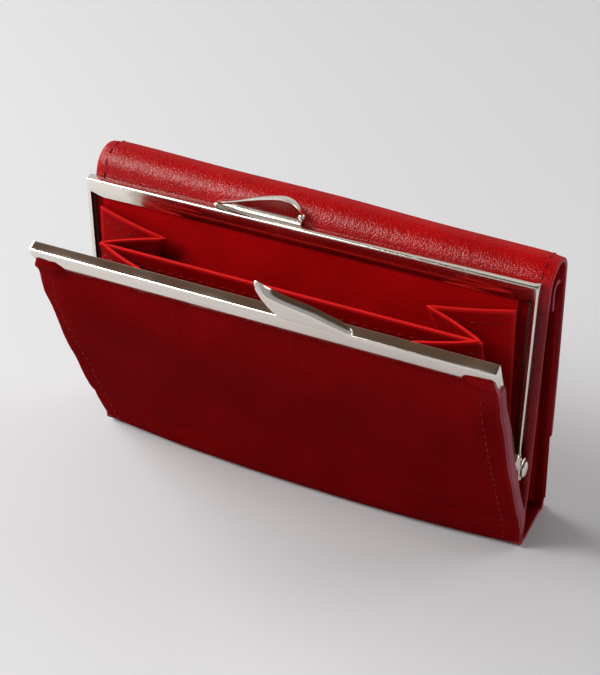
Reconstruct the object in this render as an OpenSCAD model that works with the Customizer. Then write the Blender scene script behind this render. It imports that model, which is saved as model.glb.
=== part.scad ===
// Flat leather coin purse with a two-part kiss-lock frame, a pleated coin pocket,
// a closing flap that rolls over the top, and a back cover with card pockets.
// X runs along the purse, Y from front to back, Z up. The origin is on the
// resting face, so the whole purse stands on Z = 0.

/* [Purse] */
// Width of the leather body
purse_w = 124; // [118:1:130]
// Thickness of the outer leather
leather_t = 1.2; // [1:0.1:1.3]
// Thickness of a lining
lining_t = 0.5; // [0.3:0.1:0.5]
// Thickness of a stiffener board
board_t = 1; // [0.6:0.1:1]

/* [Frame] */
// Width over the arms of both frames
frame_w = 120; // [114:1:120]
// Height of the pivots above the base
pivot_z = 28.4; // [28:0.1:29]
// Depth position of the plane where the two frames meet
pivot_y = -10; // [-10.2:0.1:-10]
// From the pivot to the top of a bar
frame_h = 51.4; // [50:0.1:52]
// Angle that the front frame stands open
open_angle = 27.5; // [20:0.5:30]
// Depth of a channel, front to back
bar_d = 2.9; // [2.7:0.1:2.9]
// Height of a channel's walls
bar_h = 4.4; // [4:0.1:4.6]
// Height of the outer wall of the front bar
face_h = 6.4; // [6:0.1:6.6]
// Thickness of the sheet metal
metal_t = 0.5; // [0.4:0.05:0.5]

/* [Divider] */
// Angle forward of upright at which the divider stands
divider_angle = 12.8; // [12:0.1:13.5]
// Height of the divider's top edge above the pivot
divider_h = 40.6; // [38:0.1:41]

/* [Cover and flap] */
// Lean of the cover towards the coin pocket
cover_lean = 8; // [7:0.1:8.5]
// Length of the cover from its spine to the middle of its rounded top
cover_h = 73; // [70:0.5:73]
// Height of the flap's lower edge above the base
flap_end_z = 24; // [22:0.5:30]

/* [Hidden] */
$fn = 48;

// Running gap between the two frames, and between parts that pass each other
gap = 0.1;
// Rounding of a bar's outer edges
edge_r = 0.7;

// Pivot: ears, rivet and their fit
ear_t = 1;
ear_r = 3;
ear_top = 6;
arm_end = 3.4;
cord_start = 9.5;
joggle_z = [5, 9];
rivet_r = 0.95;
rivet_head_r = 2.1;
rivet_head_t = 0.8;
running_fit = 0.05;
rear_ear_x = frame_w / 2 - ear_t;
front_ear_x = frame_w / 2 + gap;

// Cord in the channel
cord_r = 0.85;
cord_inset = metal_t + cord_r + 0.1;
sheet_top = frame_h - cord_inset - cord_r - 0.2;

// The front bar's face stops here, and the leather comes out below it
face_low = frame_h - face_h;

// Depths of the lining and the leather inside a channel
lining_d = gap + metal_t + lining_t / 2 + 0.02;
leather_d = gap + bar_d - metal_t - leather_t / 2 - 0.05;

// Widths of the inner sheets
channel_sheet_w = frame_w - 2 * metal_t - 8.4;
inner_w = frame_w - 12;
cover_inner_w = purse_w - 4;
pocket_w = purse_w - 8;

// Roll over the top
roll_c = [-0.1, 77.8];
roll_r = 6.2;
flap_fold_a = 22;
flap_top = [6.1, 77.8];
flap_end = [11.4, flap_end_z];
flap_layers = leather_t / 2 + 0.05;
flap_board_t = 0.5;

// Where the cover starts, above the spine, and the directions up it and into it
cover_start = [11, 3];
cover_up = [-sin(cover_lean), cos(cover_lean)];
cover_in = [-cos(cover_lean), -sin(cover_lean)];
cover_depth = 3.8;

// Depths of the board, the lining and the first card pocket inside the cover's skin,
// and how much each further pocket is deeper and lower
cover_board_d = 1.2;
cover_lining_d = 2.05;
pocket_d = 2.65;
pocket_step = [0.55, 11];
pocket_top = 62;

// Press stud, square to the cover, at this distance up it
stud_s = 31;
stud_ball_r = 1.6;
stud_neck_r = 1.2;
stud_flange_r = 4;
stud_flange_t = 0.25;
stud_ball_h = 1.1;
post_r = 1;
post_washer = [3, 0.02];
stud_cap_r = 5.5;
stud_cap_t = 0.7;
socket_t = 0.9;
socket_d = -3.3;

// ---- outlines ----

// Points on an arc in the Y-Z plane, from angle a0 to a1
function arc(c, r, a0, a1, n) =
    [for (i = [0 : n]) let (a = a0 + (a1 - a0) * i / n) c + r * [cos(a), sin(a)]];

// Unit normal to a path at point i
function normal_at(p, i) =
    let (d = p[min(i + 1, len(p) - 1)] - p[max(i - 1, 0)]) [-d[1], d[0]] / norm(d);

// Closed outline of a sheet of thickness t that follows a path
function ribbon(p, t) = concat(
    [for (i = [0 : len(p) - 1]) p[i] + normal_at(p, i) * t / 2],
    [for (i = [len(p) - 1 : -1 : 0]) p[i] - normal_at(p, i) * t / 2]);

// Outline of a strip of width t beside a path, on its left where t is positive
function edge_strip(p, t) = concat(p, [for (i = [len(p) - 1 : -1 : 0]) p[i] + normal_at(p, i) * t]);

// Point on the cover, s up it and d inwards from its outer leather
function on_cover(s, d) = cover_start + s * cover_up + d * cover_in;

// Point a share t down the flap and d inwards from its outer leather
function on_flap(t, d) =
    let (v = flap_end - flap_top, u = v / norm(v)) flap_top + t * v + d * [u[1], -u[0]];

// ---- shared shapes ----

// A Y-Z outline drawn out along X, centred
module across(w) {
    translate([-w / 2, 0, 0]) rotate([90, 0, 90]) linear_extrude(w) children();
}

module sheet(path, t, w) {
    across(w) polygon(ribbon(path, t));
}

// Moves a shape from a frame's own place, pivot at the origin, to the rear frame
module at_rear() {
    translate([0, pivot_y, pivot_z]) children();
}

// The same for the front frame, mirrored and standing open
module at_front() {
    translate([0, pivot_y, pivot_z]) rotate([open_angle, 0, 0]) mirror([0, 1, 0]) children();
}

// Section of the channel: depth along X, height along Y, open below
module channel_section() {
    difference() {
        union() {
            translate([gap, 0]) square([bar_d, bar_h - edge_r]);
            translate([gap + edge_r, 0]) square([bar_d - 2 * edge_r, bar_h]);
            for (d = [edge_r, bar_d - edge_r])
                translate([gap + d, bar_h - edge_r]) circle(edge_r);
        }
        translate([gap + metal_t, -1]) square([bar_d - 2 * metal_t, bar_h - metal_t + 1]);
    }
}

// Frame half: a bar and two arms of channel, mitred at the corners
module frame_half() {
    half = frame_w / 2;
    intersection() {
        across(frame_w) translate([0, frame_h - bar_h]) channel_section();
        rotate([90, 0, 0]) translate([0, 0, -2 * bar_d]) linear_extrude(4 * bar_d)
            polygon([[-half, frame_h], [half, frame_h],
                [half - bar_h, frame_h - bar_h], [-half + bar_h, frame_h - bar_h]]);
    }
    for (side = [0, 1]) mirror([side, 0, 0]) intersection() {
        translate([half - bar_h, 0, arm_end]) linear_extrude(frame_h) mirror([1, -1]) channel_section();
        rotate([90, 0, 0]) translate([0, 0, -2 * bar_d]) linear_extrude(4 * bar_d)
            polygon([[half, 0], [half, frame_h], [half - bar_h, frame_h - bar_h], [half - bar_h, 0]]);
    }
}

// Round ear at the pivot with a stem up into the arm, its inner face at x
module ear(x, hole_r) {
    difference() {
        union() {
            translate([x, 0, 0]) rotate([0, 90, 0]) cylinder(r = ear_r, h = ear_t);
            translate([x, gap, 0]) cube([ear_t, bar_d, ear_top]);
        }
        translate([x - 1, 0, 0]) rotate([0, 90, 0]) cylinder(r = hole_r, h = ear_t + 2);
    }
}

module both_sides() {
    for (side = [0, 1]) mirror([side, 0, 0]) children();
}

module cord_run() {
    d = gap + bar_d / 2;
    x = frame_w / 2 - cord_inset;
    z = frame_h - cord_inset;
    translate([-x, d, z]) rotate([0, 90, 0]) cylinder(r = cord_r, h = 2 * x);
    both_sides() {
        translate([x, d, cord_start]) cylinder(r = cord_r, h = z - cord_start);
        translate([x, d, z]) sphere(cord_r);
    }
}

// ---- metal ----

module rear_frame() color("gainsboro") at_rear() {
    frame_half();
    both_sides() ear(rear_ear_x, rivet_r);
}

module front_frame() color("gainsboro") at_front() {
    face_w = frame_w - 2 * bar_h + 0.2;
    frame_half();
    translate([-face_w / 2, gap + bar_d - metal_t, face_low]) cube([face_w, metal_t, face_h - bar_h + 0.1]);
    both_sides() {
        ear(front_ear_x, rivet_r + running_fit);
        translate([rear_ear_x, gap, joggle_z[0]])
            cube([front_ear_x + ear_t - rear_ear_x, bar_d, joggle_z[1] - joggle_z[0]]);
    }
}

module hinge_rivets() color("silver") at_rear() both_sides() {
    inner = rear_ear_x - rivet_head_t;
    outer = front_ear_x + ear_t + gap / 2;
    translate([inner, 0, 0]) rotate([0, 90, 0]) cylinder(r = rivet_head_r, h = rivet_head_t);
    translate([inner, 0, 0]) rotate([0, 90, 0]) cylinder(r = rivet_r, h = outer - inner + rivet_head_t);
    translate([outer, 0, 0]) rotate([0, 90, 0]) cylinder(r = rivet_head_r, h = rivet_head_t);
}

// Clasp: a plate that rises along the bar, a flange along its upper edge, and a foot on the bar.
// top is the upper edge from the root to the tip, side is 1 where the plate lies left of that way.
module clasp(top, inner_x, side, plate_d, flange_d) {
    lip = 0.6;
    outline = concat(top, [[inner_x, 0], [top[0][0], 0]]);
    translate([0, 0, frame_h]) {
        translate([0, plate_d + lip, 0]) rotate([90, 0, 0]) linear_extrude(lip) polygon(outline);
        translate([0, flange_d[1], 0]) rotate([90, 0, 0]) linear_extrude(flange_d[1] - flange_d[0])
            polygon(edge_strip(top, side * lip));
        x = [min(inner_x, top[0][0]), max(inner_x, top[0][0])];
        foot = [x[1] - x[0] - 2, plate_d - gap - edge_r + lip / 2, 0.4];
        translate([x[0] + 1, gap + edge_r, 0]) cube(foot);
    }
}

module rear_clasp() color("gold") at_rear()
    clasp([[-23.4, 0.3], [-22.6, 1.6], [-18, 3.6], [-13, 5.3], [-8, 6.4], [-4, 6.8],
        [-1.6, 6.2], [0, 4.8], [0.7, 2.8]], -1.5, -1, gap + bar_d - 0.6, [gap + 0.5, gap + bar_d]);

module front_clasp() color("gold") at_front()
    clasp([[25.8, 0.3], [25, 0.9], [20, 3.2], [16.3, 5], [12, 6.3], [9.2, 7.2],
        [7, 8.4], [5.6, 10.2], [4.8, 12]], 4, 1, gap + bar_d - 0.6, [gap + 1.2, gap + bar_d]);

// ---- coin pocket ----

module rear_cord() color("burlywood") at_rear() cord_run();

module front_cord() color("burlywood") at_front() cord_run();

// Depth and height, from the pivot, of the front panel's leather and the layers behind it
front_path = [[leather_d, sheet_top], [leather_d, face_low - 0.2], [leather_d + 1.1, face_low - 2],
    [4.5, 40.6], [6.4, 35.5], [7.4, 28], [7.5, 20], [7.4, 12], [7.3, 6.1]];
front_lining_path = [[lining_d, sheet_top], [lining_d, 45], [3.1, 40],
    [4.9, 34], [5.4, 26], [5.4, 18], [5.3, 10]];

module front_panel() color("firebrick") at_front() {
    sheet([for (i = [0 : 1]) front_path[i]], leather_t, frame_w - 2 * bar_h);
    sheet([for (i = [1 : len(front_path) - 1]) front_path[i]], leather_t, frame_w - 2 * bar_h);
    both_sides() translate([frame_w / 2 - bar_h - 0.1, 0, 0]) rotate([90, 0, 90])
        linear_extrude(purse_w / 2 - frame_w / 2 + bar_h + 0.1)
        polygon(ribbon([for (i = [2 : len(front_path) - 1]) front_path[i] + [0.4, 0]], leather_t));
}

module front_board() color("tan") at_front()
    sheet([[6.3, 28], [6.32, 20], [6.2, 12], [6.1, 8]], board_t, inner_w);

module front_lining() color("crimson") at_front()
    sheet(front_lining_path, lining_t, inner_w);

// Bending zone of the front leather, between the rigid panel and the base wrap
module front_fold() color("firebrick") {
    sheet([[-16.75, 25.45], [-18.1, 27.6], [-19.1, 29.3]], leather_t, inner_w);
}

// Depth and height of the wrap, from the spine forwards under the pocket and up its front
base_path = [[9.3, 0.6], [-9.6, 0.6], [-10.6, 1.2], [-11.1, 2.8],
    [-11.6, 8], [-12.6, 14], [-14.6, 20], [-16.5, 24.9]];

module base_wrap() color("firebrick") sheet(base_path, leather_t, purse_w);

module pocket_back() color("firebrick") {
    y = pivot_y + leather_d;
    sheet([[y, pivot_z + sheet_top], [y, 6]], leather_t, channel_sheet_w);
}

module pocket_lining() color("crimson") {
    y = pivot_y + lining_d;
    sheet(concat([[y, pivot_z + sheet_top]], arc([y - 0.8, 8], 0.8, 0, -180, 8),
        [[-11.65, 14], [-13.6, 20], [-15.1, 23.6]]), lining_t, inner_w);
}

// Pleated gusset for the side at +X: fold lines from the pivot's height up to the mouth
gusset_t = 0.4;
gusset_top = [[55, -10.6, 75], [35, -13, 69.5], [51.5, -19, 68], [35, -25.5, 67.5], [55, -30, 67]];
gusset_low = [[55, -10.7, 42], [46, -12.1, 42], [52.5, -13.6, 42], [46, -15.1, 42], [55, -16.5, 42]];

// Unit normal of the leaf from fold i to the next, in plan
function leaf_normal(g, i) =
    let (k = max(0, min(i, len(g) - 2)), d = g[k + 1] - g[k]) [-d[1], d[0]] / norm([d[0], d[1]]);

// Mitred offset at fold i, so that every leaf keeps its thickness
function mitre(g, i) = let (a = leaf_normal(g, i - 1), b = leaf_normal(g, i), s = a + b) 2 * s / (s * s);

// Outline of the pleats at one level, out along one face and back along the other
function pleat_loop(g) = let (n = len(g), h = gusset_t / 2) concat(
    [for (i = [0 : n - 1]) let (m = mitre(g, i) * h) g[i] + [m[0], m[1], 0]],
    [for (i = [n - 1 : -1 : 0]) let (m = mitre(g, i) * h) g[i] - [m[0], m[1], 0]]);

module gusset() {
    n = len(gusset_top);
    m = 2 * n;
    face_a = [for (i = [0 : n - 2]) each [[i, i + 1, m + i + 1], [i, m + i + 1, m + i]]];
    face_b = [for (i = [n : m - 2]) each [[i, i + 1, m + i], [i + 1, m + i + 1, m + i]]];
    ends = [for (i = [n - 1, m - 1]) let (j = (i + 1) % m) each [[i, j, m + j], [i, m + j, m + i]]];
    cap = [for (i = [0 : n - 2]) let (a = m - 1 - i) each [[i, a, i + 1], [i + 1, a, a - 1]]];
    polyhedron(concat(pleat_loop(gusset_low), pleat_loop(gusset_top)),
        concat(face_a, face_b, ends, cap, [for (f = cap) [f[0] + m, f[2] + m, f[1] + m]]));
}

module right_gusset() color("red") gusset();

module left_gusset() color("red") mirror([1, 0, 0]) gusset();

// The divider is a doubled sheet between the two inner folds of the gussets
divider_w = 90;
divider_t = 1.2;
divider_low = 1.5;

module divider() color("red") translate([0, pivot_y, pivot_z]) rotate([divider_angle, 0, 0])
    translate([-divider_w / 2, -divider_t / 2, divider_low])
        cube([divider_w, divider_t, divider_h - divider_low]);

// ---- back panel, roll and flap ----

module back_panel() color("firebrick")
    sheet([[-6.6, 1.6], [-6.1, 20], [-6.1, 34], [-6.3, 45], [-6.3, 75]], leather_t, purse_w);

module top_roll() color("firebrick")
    sheet(concat([[-6.3, 75]], arc(roll_c, roll_r, 180, 90 + flap_fold_a, 10)), leather_t, purse_w);

module roll_fold() color("firebrick")
    sheet(arc(roll_c, roll_r, 90 + flap_fold_a - 1.5, 90 - flap_fold_a + 1.5, 6), leather_t, purse_w - 1);

module flap_leather() color("firebrick")
    sheet(concat(arc(roll_c, roll_r, 90 - flap_fold_a, 0, 10), [flap_end]), leather_t, purse_w);

module flap_board() color("tan")
    sheet([for (t = [0.08, 0.94]) on_flap(t, flap_layers + flap_board_t / 2)], flap_board_t, inner_w);

module flap_lining() color("crimson")
    sheet([for (t = [0.04, 1]) on_flap(t, flap_layers + flap_board_t + 0.3)], lining_t, purse_w - 2);

// ---- press stud ----

// Puts a shape's Z axis along the cover's outward normal, at the stud
module at_stud() {
    p = on_cover(stud_s, -leather_t / 2);
    translate([0, p[0], p[1]]) rotate([-90 + cover_lean, 0, 0]) children();
}

module stud_ball() color("silver") at_stud() rotate_extrude()
    polygon([[0, 0], [stud_flange_r, 0], [stud_flange_r, stud_flange_t], [stud_neck_r, stud_flange_t],
        [stud_neck_r, stud_flange_t + 0.2], [stud_ball_r, 0.75], [stud_ball_r, 0.85],
        [stud_neck_r - 0.1, stud_ball_h], [0, stud_ball_h]]);

module stud_post() color("silver") at_stud() translate([0, 0, -leather_t - post_washer[1]]) {
    cylinder(r = post_r, h = leather_t + post_washer[1]);
    translate([0, 0, -post_washer[1]]) cylinder(r = post_washer[0], h = post_washer[1]);
}

// ---- cover ----

module cover_leather() color("firebrick") difference() {
    sheet(concat([on_cover(0, 0)], [for (a = arc([0, 0], cover_depth / 2, 180, 0, 12))
        on_cover(cover_h + a[1], cover_depth / 2 + a[0])], [on_cover(cover_h - 5, cover_depth)]),
        leather_t, purse_w);
    at_stud() translate([0, 0, -leather_t - 1]) cylinder(r = post_r, h = leather_t + 2);
}

module cover_board() color("tan")
    sheet([for (s = [1, cover_h - 1]) on_cover(s, cover_board_d)], board_t, cover_inner_w);

module cover_lining() color("crimson")
    sheet([for (s = [1, cover_h - 2]) on_cover(s, cover_lining_d)], lining_t, cover_inner_w);

// Card pocket i counts from the highest, which lies deepest
module card_pocket(i) {
    d = pocket_d + pocket_step[0] * i;
    sheet([for (s = [2, pocket_top - pocket_step[1] * i]) on_cover(s, d)], lining_t, pocket_w);
}

module card_pocket_1() color("crimson") card_pocket(0);

module card_pocket_2() color("crimson") card_pocket(1);

module card_pocket_3() color("crimson") card_pocket(2);

// Bending zone at the spine, between the base wrap and the cover
module spine_fold() color("firebrick")
    sheet(concat([[9.4, 0.6]], arc([9.4, 2.2], 1.6, -80, 0, 6), [[11, 2.9]]), leather_t, purse_w - 1);

module stud_cap() color("silver") cap_place() {
    cylinder(r = stud_cap_r, h = stud_cap_t);
}

module stud_socket() color("silver") cap_place() translate([0, 0, socket_d]) difference() {
    cylinder(r = stud_flange_r, h = socket_t);
    translate([0, 0, -1]) cylinder(r = stud_ball_r + 0.2, h = 2);
}

// Cap and socket are square to the flap, in line with the stud
module cap_place() {
    v = flap_end - flap_top;
    stud = on_cover(stud_s, 0);
    t = (stud[1] + 0.6 - flap_top[1]) / v[1];
    p = flap_top + t * v;
    translate([0, p[0], p[1]]) rotate([-90 - atan(v[0] / v[1]), 0, 0])
        translate([0, 0, leather_t / 2]) children();
}

rear_frame();
front_frame();
hinge_rivets();
rear_clasp();
front_clasp();
rear_cord();
front_cord();
front_panel();
front_board();
front_lining();
front_fold();
base_wrap();
pocket_back();
pocket_lining();
left_gusset();
right_gusset();
divider();
back_panel();
top_roll();
roll_fold();
flap_leather();
flap_board();
flap_lining();
stud_cap();
stud_socket();
stud_ball();
stud_post();
spine_fold();
cover_leather();
cover_board();
cover_lining();
card_pocket_1();
card_pocket_2();
card_pocket_3();
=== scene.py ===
# %% [markdown]
# A flat leather coin purse, standing open. Two nickel-plated frames turn on rivets at
# its sides and close with two crossing tongues. Behind the coin pocket a flap rolls over
# the top and presses shut on a stiff cover that holds cards.
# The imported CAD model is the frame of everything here: it gives the places, the sizes
# and the joints, and each piece below takes the place of one or more of its solids.

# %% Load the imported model
import math
import bpy
import numpy as np
from mathutils import Matrix, Vector


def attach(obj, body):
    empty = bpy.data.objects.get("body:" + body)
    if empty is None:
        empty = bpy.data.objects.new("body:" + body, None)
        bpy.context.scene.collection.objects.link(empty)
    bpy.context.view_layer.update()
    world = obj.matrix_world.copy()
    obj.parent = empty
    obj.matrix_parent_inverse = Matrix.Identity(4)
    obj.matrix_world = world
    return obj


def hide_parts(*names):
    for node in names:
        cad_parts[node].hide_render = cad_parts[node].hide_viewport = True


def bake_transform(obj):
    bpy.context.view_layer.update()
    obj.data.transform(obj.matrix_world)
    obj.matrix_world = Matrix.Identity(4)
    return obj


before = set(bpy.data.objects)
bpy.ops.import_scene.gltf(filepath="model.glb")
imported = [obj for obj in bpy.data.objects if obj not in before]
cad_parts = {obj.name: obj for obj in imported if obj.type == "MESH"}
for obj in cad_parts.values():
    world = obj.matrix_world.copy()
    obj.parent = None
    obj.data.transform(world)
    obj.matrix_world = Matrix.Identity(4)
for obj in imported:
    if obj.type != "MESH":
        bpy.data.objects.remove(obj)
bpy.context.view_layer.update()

# %% [markdown]
# The camera looks down on the open mouth from the front right. A long lens from a good
# distance keeps the bars nearly parallel, as a small thing on a table is best shown.

# %% Camera
MM = 0.001


def mm(*point):
    """A point in millimetres as a vector in metres."""
    return Vector(point) * MM


camera_data = bpy.data.cameras.new("camera")
camera_data.lens = 77.4
camera_data.clip_start = 0.01
camera = bpy.data.objects.new("camera", camera_data)
bpy.context.collection.objects.link(camera)
bpy.context.scene.camera = camera
turn, tilt = math.radians(25.94), math.radians(33.87)
sight = Vector((-math.sin(turn) * math.cos(tilt), math.cos(turn) * math.cos(tilt), -math.sin(tilt)))
roll = Matrix.Rotation(math.radians(0.16), 4, "Z")
camera.matrix_world = (Matrix.Translation(mm(132.63, -281.21, 251.47))
                       @ sight.to_track_quat("-Z", "Y").to_matrix().to_4x4() @ roll)
print("Camera stands", round(camera.location.length * 1000), "mm from the base")

# %% [markdown]
# A pale floor and three soft lights. The key stands high in front, to the left, so that
# it rakes over the roll and the rounded edges of the metal, and leaves the front panel,
# which leans forward, in its own shade. A broad light on each side evens out the floor.
# The sky is pale at the horizon and dark overhead, because polished metal shows whatever
# is round it.

# %% Floor, sky and lights
def clear_selection():
    """Leaves edit mode and deselects everything."""
    if bpy.context.object and bpy.context.object.mode != "OBJECT":
        bpy.ops.object.mode_set(mode="OBJECT")
    bpy.ops.object.select_all(action="DESELECT")


clear_selection()
bpy.ops.mesh.primitive_plane_add(size=6)
floor = bpy.context.object
floor.name = "floor"


def soft_light(name, towards, distance, size, power, colour):
    """A square of light, seen from the purse in the direction towards."""
    data = bpy.data.lights.new(name, "AREA")
    data.size, data.energy, data.color = size, power, colour
    light = bpy.data.objects.new(name, data)
    bpy.context.collection.objects.link(light)
    direction = Vector(towards).normalized()
    place = mm(0, -10, 40) + direction * distance
    light.matrix_world = (Matrix.Translation(place)
                          @ direction.to_track_quat("Z", "Y").to_matrix().to_4x4())


soft_light("key", (-0.58, -0.46, 0.70), 1.2, 0.58, 13.4, (1.0, 0.985, 0.96))
soft_light("left", (-1.5, 0.3, 0.75), 2.8, 1.4, 46, (1.0, 0.995, 0.99))
soft_light("right", (1.3, 0.9, 1.0), 2.2, 1.2, 11, (1.0, 1.0, 1.0))

sky = bpy.data.worlds.new("sky")
bpy.context.scene.world = sky
sky.use_nodes = True
sky_nodes, sky_links = sky.node_tree.nodes, sky.node_tree.links
direction = sky_nodes.new("ShaderNodeTexCoord")
height = sky_nodes.new("ShaderNodeSeparateXYZ")
sky_links.new(direction.outputs["Generated"], height.inputs[0])
towards_back = sky_nodes.new("ShaderNodeVectorMath")
towards_back.operation = "DOT_PRODUCT"
towards_back.inputs[1].default_value = (-0.5, 0.8, 0.3)
sky_links.new(direction.outputs["Generated"], towards_back.inputs[0])
mixed = sky_nodes.new("ShaderNodeMix")
mixed.data_type, mixed.blend_type = "RGBA", "MULTIPLY"
mixed.inputs[0].default_value = 1
overhead = ((0.62, (1, 1, 1)), (0.80, (0.20, 0.125, 0.085)))
behind = ((0.0, (0.40, 0.40, 0.41)), (0.9, (0.72, 0.71, 0.69)))
for socket, source, stops in ((mixed.inputs[6], height.outputs["Z"], overhead),
                              (mixed.inputs[7], towards_back.outputs["Value"], behind)):
    bands = sky_nodes.new("ShaderNodeValToRGB")
    for element, (position, colour) in zip(bands.color_ramp.elements, stops):
        element.position, element.color = position, (*colour, 1)
    sky_links.new(source, bands.inputs[0])
    sky_links.new(bands.outputs[0], socket)
sky_links.new(mixed.outputs[2], sky_nodes["Background"].inputs["Color"])
sky_nodes["Background"].inputs["Strength"].default_value = 0.9
bpy.context.scene.view_settings.view_transform = "Standard"

# %% [markdown]
# Finishes. The outer leather is a deep red goatskin with fine pebbles and a low sheen.
# It comes in two copies of one colour: a brighter one on the roll, which is painted light,
# and a darker one on the front, the back and the cover, which is painted shade.
# Its cut and turned edges are paler, because the dye doesn't reach the core of the skin.
# The leather inside is smoother and brighter. All leather patterns are drawn on the flat
# cut of each piece, in millimetres, so that the grain bends and moves with the skin.

# %% Helpers for materials
def new_material(name, colour, rough, metallic=0.0, specular=0.5):
    """A material with its nodes, its links and its shader."""
    material = bpy.data.materials.new(name)
    material.use_nodes = True
    nodes, links = material.node_tree.nodes, material.node_tree.links
    shader = nodes["Principled BSDF"]
    shader.inputs["Base Color"].default_value = (*colour, 1)
    shader.inputs["Roughness"].default_value = rough
    shader.inputs["Metallic"].default_value = metallic
    shader.inputs["Specular IOR Level"].default_value = specular
    return material, nodes, links, shader


def coordinates(nodes, links, source, scale):
    """Texture coordinates from Object or UV, scaled."""
    place = nodes.new("ShaderNodeTexCoord")
    mapping = nodes.new("ShaderNodeMapping")
    mapping.inputs["Scale"].default_value = scale
    links.new(place.outputs[source], mapping.inputs["Vector"])
    return mapping.outputs["Vector"]


def noise(nodes, links, vector, scale, detail=3.0):
    """A noise pattern."""
    node = nodes.new("ShaderNodeTexNoise")
    node.inputs["Scale"].default_value = scale
    node.inputs["Detail"].default_value = detail
    links.new(vector, node.inputs["Vector"])
    return node.outputs["Fac"]


def ramp(nodes, links, factor, stops):
    """Colours or greys at their places along factor."""
    node = nodes.new("ShaderNodeValToRGB")
    elements = node.color_ramp.elements
    while len(elements) < len(stops):
        elements.new(0.5)
    for element, (position, colour) in zip(elements, stops):
        element.position = position
        element.color = (*colour, 1) if len(colour) == 3 else (colour[0],) * 3 + (1,)
    links.new(factor, node.inputs["Fac"])
    return node.outputs["Color"]


def blend_colours(nodes, links, factor, first, second, how="MIX"):
    """Mixes two colour outputs, or an output and a plain colour."""
    node = nodes.new("ShaderNodeMix")
    node.data_type, node.blend_type = "RGBA", how
    for socket, value in ((node.inputs[0], factor), (node.inputs[6], first),
                          (node.inputs[7], second)):
        if isinstance(value, bpy.types.NodeSocket):
            links.new(value, socket)
        else:
            socket.default_value = value if isinstance(value, float) else (*value, 1)
    return node.outputs[2]


def raised(nodes, links, shader, height, strength, distance, below=None):
    """Gives the shader a bump, on top of another if there is one."""
    node = nodes.new("ShaderNodeBump")
    node.inputs["Strength"].default_value = strength
    node.inputs["Distance"].default_value = distance
    links.new(height, node.inputs["Height"])
    if below is not None:
        links.new(below, node.inputs["Normal"])
    links.new(node.outputs["Normal"], shader.inputs["Normal"])
    return node.outputs["Normal"]


# %% Leather
# Painted shade: the darker red that the leather is blended to where its shade attribute says.
PAINTED_SHADE = (0.17, 0.0007, 0.0015)


def leather(name, deep, bright, worn, rough, pebble, pebble_height, gloss):
    """Dyed leather with pebbles of that size in mm. Two attributes of the skin say where it
    is worn and where it is blended to painted shade. Its shine is a thin hard coat of
    dressing, so that the skin below keeps its full colour."""
    material, nodes, links, shader = new_material(name, deep, rough, 0.0, 0.0)
    shader.inputs["Coat Weight"].default_value = gloss
    shader.inputs["Coat IOR"].default_value = 2.2
    shader.inputs["Coat Roughness"].default_value = rough
    flat = coordinates(nodes, links, "UV", (1, 0.8, 1))
    clouds = noise(nodes, links, flat, 0.06, 4)
    colour = ramp(nodes, links, clouds, [(0.35, deep), (0.7, bright)])
    cells = nodes.new("ShaderNodeTexVoronoi")
    cells.inputs["Scale"].default_value = 1 / pebble
    cells.inputs["Randomness"].default_value = 0.9
    warp = noise(nodes, links, flat, 0.9, 2)
    shifted = nodes.new("ShaderNodeVectorMath")
    shifted.operation = "ADD"
    links.new(flat, shifted.inputs[0])
    links.new(warp, shifted.inputs[1])
    links.new(shifted.outputs[0], cells.inputs["Vector"])
    creases = ramp(nodes, links, cells.outputs["Distance"], [(0.25, (1.0,)), (0.75, (0.0,))])
    colour = blend_colours(nodes, links, 0.22, colour, creases, "MULTIPLY")
    # The shade attribute blends the colour to painted shade, the wear attribute to the worn colour.
    for attribute, other in (("painted_shade", PAINTED_SHADE), ("wear", worn)):
        share = nodes.new("ShaderNodeAttribute")
        share.attribute_name = attribute
        colour = blend_colours(nodes, links, share.outputs["Fac"], colour, other)
    links.new(colour, shader.inputs["Base Color"])
    sheen = ramp(nodes, links, noise(nodes, links, flat, 0.35, 3),
                 [(0.3, (rough - 0.05,)), (0.7, (rough + 0.08,))])
    links.new(sheen, shader.inputs["Roughness"])
    below = raised(nodes, links, shader, creases, 0.6, pebble_height * MM)
    wrinkles = noise(nodes, links, coordinates(nodes, links, "UV", (1, 0.35, 1)), 0.5, 5)
    normal = raised(nodes, links, shader, wrinkles, 0.5, 2 * pebble_height * MM, below)
    links.new(normal, shader.inputs["Coat Normal"])
    return material


# One outer skin in two colours: this darker copy is painted shade, and the roll's brighter copy
# below is painted light. The roll's copy is also glossier.
red_leather = leather("red_leather", (0.150, 0.0005, 0.0012), (0.190, 0.0008, 0.0018),
                      (0.30, 0.012, 0.015), 0.34, 0.5, 0.05, 0.014)
roll_leather_painted_light = leather("roll_leather_painted_light", (0.34, 0.0015, 0.0025), (0.43, 0.002, 0.003),
                       (0.50, 0.02, 0.03), 0.27, 0.5, 0.09, 0.15)
inner_leather = leather("inner_leather", (0.24, 0.001, 0.002), (0.32, 0.002, 0.003),
                        (0.60, 0.010, 0.010), 0.45, 0.4, 0.025, 0.03)
lining = leather("lining", (0.36, 0.0015, 0.0025), (0.48, 0.003, 0.004),
                 (0.55, 0.02, 0.02), 0.55, 0.35, 0.02, 0.02)
leather_edge = leather("leather_edge", (0.30, 0.07, 0.09), (0.40, 0.11, 0.135),
                       (0.4, 0.12, 0.14), 0.5, 0.3, 0.03, 0.04)
print("Leathers:", ", ".join(m.name for m in (red_leather, roll_leather_painted_light, inner_leather, lining)))

# %% Thread, metal, cord and board
thread, nodes, links, shader = new_material("thread", (0.17, 0.002, 0.004), 0.5, 0.0, 0.1)
twist = nodes.new("ShaderNodeTexWave")
twist.inputs["Scale"].default_value = 1500
links.new(coordinates(nodes, links, "Object", (1, 1, 1)), twist.inputs["Vector"])
raised(nodes, links, shader, twist.outputs["Fac"], 0.4, 0.05 * MM)


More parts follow.
